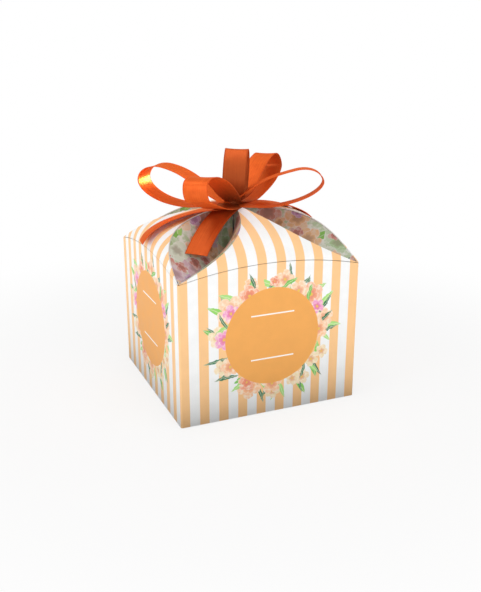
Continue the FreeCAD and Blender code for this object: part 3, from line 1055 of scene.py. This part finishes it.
@dataclass
class RibbonPiece:
    """A length of ribbon lofted through stations, as a thin closed mesh."""

    name: str
    stations: list[Station]
    columns: int = 18
    pleats: int = 3
    sharp: float = 50.0

    def length(self) -> float:
        """Length along the middle line."""
        middles = [station.middle for station in self.stations]
        return sum((b - a).length for a, b in zip(middles, middles[1:]))

    def row(self, station: Station, side: float) -> list[Vector]:
        """Works out the points across one face of the ribbon.

        Args:
            station: the place along the ribbon.
            side: 1 for the outer face and -1 for the inner.

        Returns:
            The points.
        """
        points = []
        for column in range(self.columns + 1):
            share = 2 * column / self.columns - 1
            rise = station.cup * (share * share - 1 / 3)
            rise += station.pleat * math.sin(math.pi * self.pleats * share)
            rise += side * RIBBON_THICKNESS / 2
            points.append(station.middle + station.across * (station.half * share) + station.out * rise)
        return points

    def build(self, material: Material) -> Object:
        """Makes the object with its weave coordinates.

        Args:
            material: the ribbon's finish.

        Returns:
            The object, in place.
        """
        mesh = RibbonMesh()
        travelled = 0.0
        ring = 2 * (self.columns + 1)
        across = [(2 * column / self.columns - 1) * RIBBON_WIDTH / 2 for column in range(self.columns + 1)]
        for index, station in enumerate(self.stations):
            if index:
                travelled += (station.middle - self.stations[index - 1].middle).length
            mesh.points += self.row(station, 1) + self.row(station, -1)[::-1]
            mesh.places += [(value, travelled) for value in across + across[::-1]]
            # Painted shade of the outer face, then of the inner face.
            mesh.tones += [station.shade] * len(across) + [station.inner_shade] * len(across)
        last = len(mesh.points) - ring
        for start in range(0, last, ring):
            for step in range(ring):
                after = (step + 1) % ring
                mesh.faces.append((start + step, start + after, start + ring + after, start + ring + step))
        for column in range(self.columns):
            mirror = ring - 1 - column
            mesh.faces.append((column, mirror, mirror - 1, column + 1))
            mesh.faces.append((last + column, last + column + 1, last + mirror - 1, last + mirror))
        return mesh.build(self.name, self.sharp, material)


def ease(share: float) -> float:
    """Smooth step from 0 to 1."""
    share = min(max(share, 0.0), 1.0)
    return share * share * (3 - 2 * share)


def bezier(first: Vector, second: Vector, third: Vector, fourth: Vector, t: float) -> Vector:
    """Point of a cubic curve."""
    s = 1 - t
    return first * s ** 3 + second * (3 * s * s * t) + third * (3 * s * t * t) + fourth * t ** 3


@dataclass(frozen=True)
class Loop:
    """One loop of the bow: its bearing and how it leaves the knot, in degrees; its sizes in millimetres.

    Crest and trough are the highest place of the upper strand and the lowest of the lower one, each as the
    distance out from the knot and the distance from the loop's axis.
    """

    azimuth: float
    elevation: float
    roll: float
    length: float
    height: float
    crest: tuple[float, float]
    trough: tuple[float, float]
    launch: float
    lower_launch: float
    lower_root: float = 0.8
    upper_root: float = 0.8
    gather: float = 0.5
    lower_gather: float = 0.5
    gather_length: float = 12.0
    upper_tilt: float = 0.0
    lower_tilt: float = 0.0
    # Painted shade: darker near the knot over shade_length, and on the inner face from the upper strand
    # round the tip by hollow_shade.
    shade: float = 0.3
    shade_length: float = 14.0
    hollow_shade: float = 0.0

    ROUND = 0.56
    LAUNCH_PULL = 0.45
    CREST_PULL = 0.45
    STEPS = 40
    CUP = 0.3
    PLEAT = 1.0
    TILT_REACH = 1.5
    HOLLOW_SHARE = 0.2

    def axes(self, share: float, tilt: float) -> Matrix:
        """Columns out along the loop, across its ribbon and up from it.

        Args:
            share: 0 at the knot, 1 where the ribbon has settled to its roll.
            tilt: the ribbon's roll at the knot, in degrees.

        Returns:
            The three columns as a matrix.
        """
        turns = (self.azimuth, self.elevation, self.roll * share + tilt * (1 - share))
        level, rise, turn = (math.radians(angle) for angle in turns)
        heading = Vector((math.cos(level), math.sin(level), 0))
        out = heading * math.cos(rise) + UP * math.sin(rise)
        upright = UP * math.cos(rise) - heading * math.sin(rise)
        across = upright.cross(out) * math.cos(turn) + upright * math.sin(turn)
        return Matrix((out, across, out.cross(across))).transposed()

    def strand(self, top: tuple[float, float], launch: float, root_height: float) -> list[Vector]:
        """Draws a strand in the loop's plane, both strands as the upper one.

        Args:
            top: the strand's crest, or its trough turned up.
            launch: its angle at the knot, in degrees.
            root_height: its height at the knot.

        Returns:
            The points from the knot to the tip.
        """
        start = Vector((0, root_height))
        high = Vector(top)
        tip = Vector((self.length, 0))
        angle = math.radians(launch)
        pull = start + Vector((math.cos(angle), math.sin(angle))) * (self.LAUNCH_PULL * top[0])
        before = high - Vector((self.CREST_PULL * top[0], 0))
        after = high + Vector((self.ROUND * (self.length - top[0]), 0))
        over = tip + Vector((0, self.ROUND * top[1]))
        steps = [step / self.STEPS for step in range(self.STEPS + 1)]
        climb = [bezier(start, pull, before, high, step) for step in steps[:-1]]
        return climb + [bezier(high, after, over, tip, step) for step in steps]

    def outline(self) -> list[Vector]:
        """Draws the whole loop in its plane.

        Returns:
            The points from the upper root to the lower.
        """
        upper = self.strand(self.crest, self.launch, self.upper_root)
        lower = self.strand(self.trough, self.lower_launch, self.lower_root)
        return upper + [Vector((point.x, -point.y)) for point in lower[-2::-1]]

    def stations(self, seat: float) -> list[Station]:
        """Stations of the ribbon round the loop.

        Args:
            seat: height of the knot's foot, in millimetres.

        Returns:
            The stations, in metres, from the upper root to the lower.
        """
        origin = Vector((0, 0, seat + self.height))
        outline = self.outline()
        travelled = [0.0]
        for before, after in zip(outline, outline[1:]):
            travelled.append(travelled[-1] + (after - before).length)
        total = travelled[-1]
        stations = []
        for index, point in enumerate(outline):
            before = outline[max(index - 1, 0)]
            after = outline[min(index + 1, len(outline) - 1)]
            along = (after - before).normalized()
            is_upper = travelled[index] < total / 2
            tight = self.gather if is_upper else self.lower_gather
            tilt = self.upper_tilt if is_upper else self.lower_tilt
            from_root = min(travelled[index], total - travelled[index])
            settled = from_root / self.gather_length
            open_share = tight + (1 - tight) * ease(settled)
            axes = self.axes(ease(settled / self.TILT_REACH), tilt)
            # Painted shade of the outer face near the knot and of the inner face in the loop's hollow.
            shade = self.shade * (1 - ease(from_root / self.shade_length))
            hollow = self.hollow_shade * (1 - ease((travelled[index] / total - 0.5) / self.HOLLOW_SHARE))
            stations.append(Station(
                middle=(origin + axes @ Vector((point.x, 0, point.y))) * MM,
                across=axes @ Vector((0, 1, 0)),
                out=axes @ Vector((-along.y, 0, along.x)),
                half=RIBBON_WIDTH / 2 * open_share,
                cup=self.CUP * MM * open_share,
                pleat=self.PLEAT * MM * (1 - open_share),
                shade=shade,
                inner_shade=max(shade, hollow),
            ))
        return stations


@dataclass(frozen=True)
class CornerTail:
    """Loose end that bows down over a corner in one arc; lengths in millimetres, angles in degrees."""

    azimuth: float = 222.0
    reach: float = 45.0
    drop: float = 17.0
    height: float = -0.05
    cup: float = -0.3
    # Painted shade over the whole tail, and more near the knot, under the band's shade.
    shade: float = 0.2
    root_shade: float = 0.12
    root_share: float = 0.4
    steps: int = 48

    def stations(self, seat: float) -> list[Station]:
        """Stations of the ribbon along the tail.

        Args:
            seat: height of the knot's foot, in millimetres.

        Returns:
            The stations, in metres, from the knot to the cut end.
        """
        turn = Matrix.Rotation(math.radians(self.azimuth), 3, "Z")
        radius = (self.reach ** 2 + self.drop ** 2) / (2 * self.drop)
        sweep = math.asin(self.reach / radius)
        centre = Vector((0, 0, seat + self.height - radius))
        across = turn @ Vector((0, 1, 0))
        stations = []
        for step in range(self.steps + 1):
            share = step / self.steps
            out = turn @ Vector((math.sin(sweep * share), 0, math.cos(sweep * share)))
            # Painted shade, deepest at the knot.
            shade = self.shade + self.root_shade * (1 - ease(share / self.root_share))
            stations.append(Station((centre + out * radius) * MM, across, out, RIBBON_WIDTH / 2,
                                    self.cup * MM, shade=shade))
        return stations


@dataclass(frozen=True)
class PetalTail:
    """Loose end that lies along a petal and lifts at its cut; lengths in millimetres, angles in degrees.

    End is the place of the cut along the petal's middle line, from 0 at the crease to 1 at the tip.
    """

    petal: str
    azimuth: float
    end: float
    stand_off: float
    roll: float = 0.0
    sway: float = 0.0

    CREASE = Vector((0.0, 82.3))
    TIP = Vector((48.8, PETAL_TOP))
    LEANS = (9.7, 1.6)
    HANDLES = (10.9, 31.8)
    HALF_WIDTH = 50.0
    SWAY_REACH = 44.0
    LIFT = 0.3
    SPREAD_LIFT = 0.45
    ROOT_WIDTH = 0.6
    ROLL_RATE = 2.5
    SPREAD_RATE = 3.0
    WIDEN_RATE = 5.0
    CUP = -0.25
    PLEAT = 0.5
    STEPS = 56

    def profile(self, t: float) -> tuple[Vector, Vector]:
        """Finds a place on the petal's middle line.

        Args:
            t: how far along the line it is, from 0 at the crease to 1 at the tip.

        Returns:
            Its run inwards and its height, in millimetres, and the line's direction there.
        """
        lean, level = (math.radians(angle) for angle in self.LEANS)
        first = self.CREASE + Vector((math.sin(lean), math.cos(lean))) * self.HANDLES[0]
        last = self.TIP - Vector((math.cos(level), math.sin(level))) * self.HANDLES[1]
        poles = (self.CREASE, first, last, self.TIP)
        slopes = (-3 * (1 - t) ** 2, 3 * (1 - t) * (1 - 3 * t), 3 * t * (2 - 3 * t), 3 * t * t)
        along = Vector((0, 0))
        for slope, pole in zip(slopes, poles):
            along += pole * slope
        return bezier(*poles, t), along.normalized()

    def stations(self) -> list[Station]:
        """Stations of the ribbon along the tail.

        Returns:
            The stations, in metres, from the knot to the cut end.
        """
        turn = Matrix.Rotation(math.radians(self.azimuth), 3, "Z")
        side = Vector((0, 1, 0))
        stations = []
        for step in range(self.STEPS + 1):
            share = step / self.STEPS
            place, along = self.profile(1 + (self.end - 1) * share)
            tilt = math.radians(self.roll) * ease(share * self.ROLL_RATE)
            lift = self.LIFT + self.SPREAD_LIFT * ease(share * self.SPREAD_RATE)
            lift += self.stand_off * share ** 2
            lift += RIBBON_WIDTH / MM / 2 * math.sin(abs(tilt))
            out = Vector((along.y, 0, along.x))
            reach = self.HALF_WIDTH - place.x
            drift = self.sway * reach * (1 - reach / self.SWAY_REACH)
            middle = Vector((reach, drift, place.y)) + out * lift
            across = side * math.cos(tilt) + out * math.sin(tilt)
            face = out * math.cos(tilt) - side * math.sin(tilt)
            open_share = self.ROOT_WIDTH + (1 - self.ROOT_WIDTH) * ease(share * self.WIDEN_RATE)
            stations.append(Station(turn @ middle * MM, turn @ across, turn @ face,
                                    RIBBON_WIDTH / 2 * open_share, self.CUP * MM,
                                    self.PLEAT * MM * (1 - open_share)))
        return stations


@dataclass(frozen=True)
class Knot:
    """Tight turn of ribbon round the loops' roots, folded into level ridges; lengths in millimetres."""

    radius: float = 4.0
    height: float = 5.0
    waist: float = 0.7
    ridge: float = 0.28
    ridges: int = 3
    waver: float = 0.8
    rim: float = 4.8
    rim_start: float = 0.75
    # Painted shade over the whole knot, which sits in the loops' shade.
    shade: float = 0.8
    sharp: float = 60.0
    rings: int = 28
    columns: int = 64

    def build(self, seat: float, material: Material) -> Object:
        """Makes the object.

        Args:
            seat: height of the knot's foot, in millimetres.
            material: the ribbon's finish.

        Returns:
            The object, in place.
        """
        mesh = RibbonMesh()
        for ring in range(self.rings + 1):
            share = ring / self.rings
            for column in range(self.columns):
                angle = 2 * math.pi * column / self.columns
                fold = math.sin(2 * math.pi * self.ridges * share + self.waver * math.sin(angle))
                radius = self.radius - self.waist * math.sin(math.pi * share) + self.ridge * fold
                radius -= self.rim * max(0.0, abs(2 * share - 1) - self.rim_start)
                level = seat + self.height * share
                mesh.points.append(Vector((radius * math.cos(angle), radius * math.sin(angle), level)) * MM)
                mesh.places.append(((share - 0.5) * RIBBON_WIDTH, self.radius * angle * MM))
        # Every point of the knot has the same painted shade.
        mesh.tones = [self.shade] * len(mesh.points)
        for start in range(0, self.rings * self.columns, self.columns):
            for column in range(self.columns):
                after = start + (column + 1) % self.columns
                above = start + column + self.columns
                mesh.faces.append((start + column, after, after + self.columns, above))
        last = self.rings * self.columns
        mesh.faces.append(tuple(range(self.columns))[::-1])
        mesh.faces.append(tuple(range(last, last + self.columns)))
        return mesh.build("bow_knot_ribbon", self.sharp, material)


@dataclass
class RibbonBow:
    """The bow: a knot, five loops and three tails of satin ribbon, in place of their CAD solids."""

    knot_lift: float = 0.3
    knot: Knot = Knot()
    satin: Satin = Satin()
    front_tail: CornerTail = CornerTail()
    petal_tails: dict[str, PetalTail] = field(default_factory=lambda: {
        "bow_left_tail": PetalTail(
            "left_petal", azimuth=181.0, end=0.06, stand_off=1.2, roll=11.0, sway=0.48),
        "bow_right_tail": PetalTail("right_petal", azimuth=8.0, end=0.22, stand_off=0.6),
    })
    loops: dict[str, Loop] = field(default_factory=lambda: {
        "bow_left_loop": Loop(
            azimuth=130.5, elevation=8.95, roll=-1.0, length=58.4, height=1.1, crest=(44.0, 9.6),
            trough=(38.0, 9.3), launch=-2.8, lower_launch=11.0, upper_root=0.3, lower_root=0.75, gather=1.0,
            lower_gather=1.0, upper_tilt=-12.0, lower_tilt=-6.0, shade=0.0),
        "bow_right_loop": Loop(
            azimuth=336.9, elevation=14.5, roll=-5.0, length=49.2, height=1.1, crest=(36.4, 8.5),
            trough=(28.5, 7.4), launch=23.0, lower_launch=18.0, lower_gather=1.0, lower_tilt=4.0),
        "bow_front_loop": Loop(
            azimuth=228.1, elevation=19.1, roll=1.6, length=58.7, height=0.85, crest=(38.5, 6.7),
            trough=(51.7, 6.8), launch=11.0, lower_launch=20.0, upper_root=-0.3, lower_root=0.4,
            gather=0.75, lower_gather=1.0, gather_length=14.0, lower_tilt=-9.0, shade=0.75,
            shade_length=36.0),
        "bow_back_loop": Loop(
            azimuth=42.7, elevation=12.0, roll=-3.0, length=54.4, height=2.5, crest=(45.0, 9.2),
            trough=(29.5, 6.6), launch=-6.0, lower_launch=25.5, upper_root=-0.1, gather=0.75,
            lower_gather=0.75, shade=0.5, shade_length=20.0, hollow_shade=0.3),
        "bow_upright_loop": Loop(
            azimuth=55.5, elevation=72.3, roll=3.0, length=25.3, height=4.4, crest=(12.9, 4.8),
            trough=(14.4, 6.1), launch=41.8, lower_launch=40.0, gather=0.85, lower_gather=0.85,
            gather_length=7.0, shade=0.68, shade_length=50.0),
    })

    def build(self) -> None:
        """Makes every piece of the bow and sets it on its body."""
        material = self.satin.material()
        seat = PETAL_TOP + self.knot_lift
        for name, loop in self.loops.items():
            self.lay(name, loop.stations(seat), material)
        self.lay("bow_front_tail", self.front_tail.stations(seat), material)
        for name, tail in self.petal_tails.items():
            self.lay(name, tail.stations(), material)
        self.tie("bow_knot", self.knot.build(seat, material))
        LOG.info("bow_knot_ribbon: tied")

    @staticmethod
    def tie(node: str, piece: Object) -> None:
        """Sets a piece on the bow's body in place of its CAD node.

        Args:
            node: the CAD node that the piece stands for.
            piece: the piece.
        """
        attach(piece, "bow")
        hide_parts(node)

    def lay(self, node: str, stations: list[Station], material: Material) -> None:
        """Args:
            node: the CAD node that the ribbon stands for.
            stations: the places along it.
            material: the ribbon's finish.
        """
        ribbon = RibbonPiece(node + "_ribbon", stations)
        piece = ribbon.build(material)
        self.tie(node, piece)
        ribbon.length()
        LOG.info("%s: %.1f mm of ribbon", piece.name, ribbon.length() / MM)


@dataclass(frozen=True)
class Softbox:
    """A flat lamp: where it stands, what it points at and its sides, in metres, and its power in watts."""

    name: str
    place: tuple[float, float, float]
    aim: tuple[float, float, float]
    sides: tuple[float, float]
    watts: float

    def build(self) -> Object:
        """Adds the lamp.

        Returns:
            The lamp, in place.
        """
        data = bpy.data.lights.new(self.name, "AREA")
        data.shape = "RECTANGLE"
        data.size, data.size_y = self.sides
        data.energy = self.watts
        lamp = put(self.name, data)
        lamp.location = self.place
        lamp.rotation_euler = (Vector(self.aim) - lamp.location).to_track_quat("-Z", "Y").to_euler()
        return lamp


@dataclass(frozen=True)
class PieceLamp(Softbox):
    """A lamp that lights some pieces alone, by their sheen or else by their colour."""

    pieces: tuple[str, ...]
    is_sheen: bool

    def build(self) -> Object:
        """Adds the lamp and the collection of the pieces that it lights.

        Returns:
            The lamp, in place.
        """
        lamp = super().build()
        lamp.visible_camera = False
        lamp.visible_diffuse = not self.is_sheen
        lamp.visible_glossy = self.is_sheen
        lit = bpy.data.collections.new(self.name + "_receivers")
        for name in self.pieces:
            lit.objects.link(bpy.data.objects[name])
        lamp.light_linking.receiver_collection = lit
        return lamp


@dataclass
class Studio:
    """Camera, lamps, floor and white surroundings.

    Lengths are in metres, those of the lens and the sensor in millimetres, and angles in degrees.
    """

    azimuth: float = -22.856
    elevation: float = 18.939
    distance: float = 0.454732
    target: tuple[float, float, float] = (0.003626, 0.0, 0.048294)
    lens: float = 48.717
    sensor: float = 36.0
    clip_start: float = 0.01
    floor_side: float = 12.0
    floor_drop: float = 0.0002
    floor_tint: Colour = (0.9, 0.9, 0.9)
    # Dark colour of the floor near the carton for rays other than the camera's: painted shade on the walls'
    # feet.
    floor_bounce: Colour = (0.03, 0.03, 0.03)
    # Glow of the floor beyond that for those rays, which lights the carton though the floor is no lamp.
    floor_glow: float = 1.34
    fade_start: float = 0.1
    fade_end: float = 0.3
    fade_least: float = 0.75
    shade_start: float = 0.008
    shade_end: float = 0.045
    half_width: float = 0.05
    world_strength: float = 0.3
    lamps: tuple[Softbox, ...] = (
        Softbox("key_softbox", (-0.05, -1.05, 0.35), (0.0, 0.0, 0.06), (0.6, 0.6), 2.15),
        Softbox("fill_softbox", (-1.05, -0.2, 0.35), (0.0, 0.0, 0.06), (0.6, 0.6), 2.9),
        Softbox("top_softbox", (0.0, -0.1, 1.1), (0.0, 0.0, 0.0), (1.2, 1.2), 7.5),
        PieceLamp("bow_glint", (0.34, 0.135, 0.12), (-0.038, 0.044, 0.112), (0.2, 0.26), 12.0,
                  pieces=("bow_left_loop_ribbon",), is_sheen=True),
        PieceLamp("gusset_fill", (-0.18, -0.42, 0.29), (-0.02, -0.02, 0.09), (0.12, 0.12), 0.45,
                  pieces=("left_petal_right_gusset", "front_petal_left_gusset", "left_right_gusset_fold"),
                  is_sheen=False),
    )

    def build(self) -> None:
        """Sets up the whole studio."""
        self.camera()
        self.floor()
        self.surroundings()
        for lamp in self.lamps:
            lamp.build()
        bpy.context.scene.view_settings.view_transform = "Standard"
        LOG.info("studio ready")

    def camera(self) -> None:
        """Camera at the photograph's viewing angle."""
        data = bpy.data.cameras.new("camera")
        data.lens = self.lens
        data.sensor_width = self.sensor
        data.clip_start = self.clip_start
        camera = put("camera", data)
        turn, rise = math.radians(self.azimuth), math.radians(self.elevation)
        back = Vector((math.sin(turn) * math.cos(rise), -math.cos(turn) * math.cos(rise), math.sin(rise)))
        camera.location = Vector(self.target) + back * self.distance
        camera.rotation_euler = (-back).to_track_quat("-Z", "Y").to_euler()
        bpy.context.scene.camera = camera

    def floor(self) -> None:
        """Pale floor that keeps a soft shadow near the carton and fades to white far away, as the camera
        and reflections see it; to other rays it is dark close round the carton, painted shade for the
        walls' feet, and it glows beyond that, lighting the carton though it is no lamp.
        """
        half = self.floor_side / 2
        corners = [(-half, -half, 0), (half, -half, 0), (half, half, 0), (-half, half, 0)]
        mesh = bpy.data.meshes.new("floor")
        mesh.from_pydata(corners, [], [(0, 1, 2, 3)])
        floor = put("floor", mesh)
        floor.location.z = -self.floor_drop
        material = bpy.data.materials.new("pale_floor")
        material.use_nodes = True
        g = Graph(material.node_tree)
        g.tree.nodes.clear()
        place = g.add("TexCoord").outputs["Object"]
        margin = g.vector("SUBTRACT", g.vector("ABSOLUTE", place), (self.half_width,) * 3)
        outside = g.vector("LENGTH", g.vector("MAXIMUM", margin, (0.0,) * 3))
        seen = g.seen()
        matt = g.add("BsdfDiffuse")
        g.plug(matt.inputs["Color"], g.mix(seen, self.floor_bounce, self.floor_tint))
        glow = g.add("Emission")
        g.plug(glow.inputs["Strength"], g.math("MULTIPLY_ADD", seen, 1 - self.floor_glow, self.floor_glow))
        blend = g.add("MixShader")
        fade = g.smooth(g.vector("LENGTH", place), self.fade_start, self.fade_end, self.fade_least, 1.0)
        # Painted shade: to rays other than the camera's the floor is dark close round the carton and glows
        # further out.
        clear = g.smooth(outside, self.shade_start, self.shade_end)
        unseen = g.math("MULTIPLY", clear, g.math("SUBTRACT", 1.0, seen))
        g.plug(blend.inputs[0], g.math("MULTIPLY_ADD", fade, seen, unseen))
        g.plug(blend.inputs[1], matt.outputs[0])
        g.plug(blend.inputs[2], glow.outputs[0])
        g.plug(g.add("OutputMaterial").inputs[0], blend.outputs[0])
        mesh.materials.append(material)

    def surroundings(self) -> None:
        """White world for the camera and reflections, softer for the light it gives."""
        world = bpy.data.worlds.new("studio_world")
        bpy.context.scene.world = world
        world.use_nodes = True
        g = Graph(world.node_tree)
        background = world.node_tree.nodes["Background"]
        g.plug(background.inputs["Color"], (1.0, 1.0, 1.0))
        strength = g.math("MULTIPLY_ADD", g.seen(), 1 - self.world_strength, self.world_strength)
        g.plug(background.inputs["Strength"], strength)


def main() -> None:
    """Builds the scene."""
    logging.basicConfig(level=logging.INFO, format="%(name)s: %(message)s")
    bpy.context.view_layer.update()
    groups = Groups()
    Carton(frame["nodes"], groups).build()
    Chocolates(frame["nodes"]).build()
    RibbonBow().build()
    Studio().build()


if __name__ == "__main__":
    main()
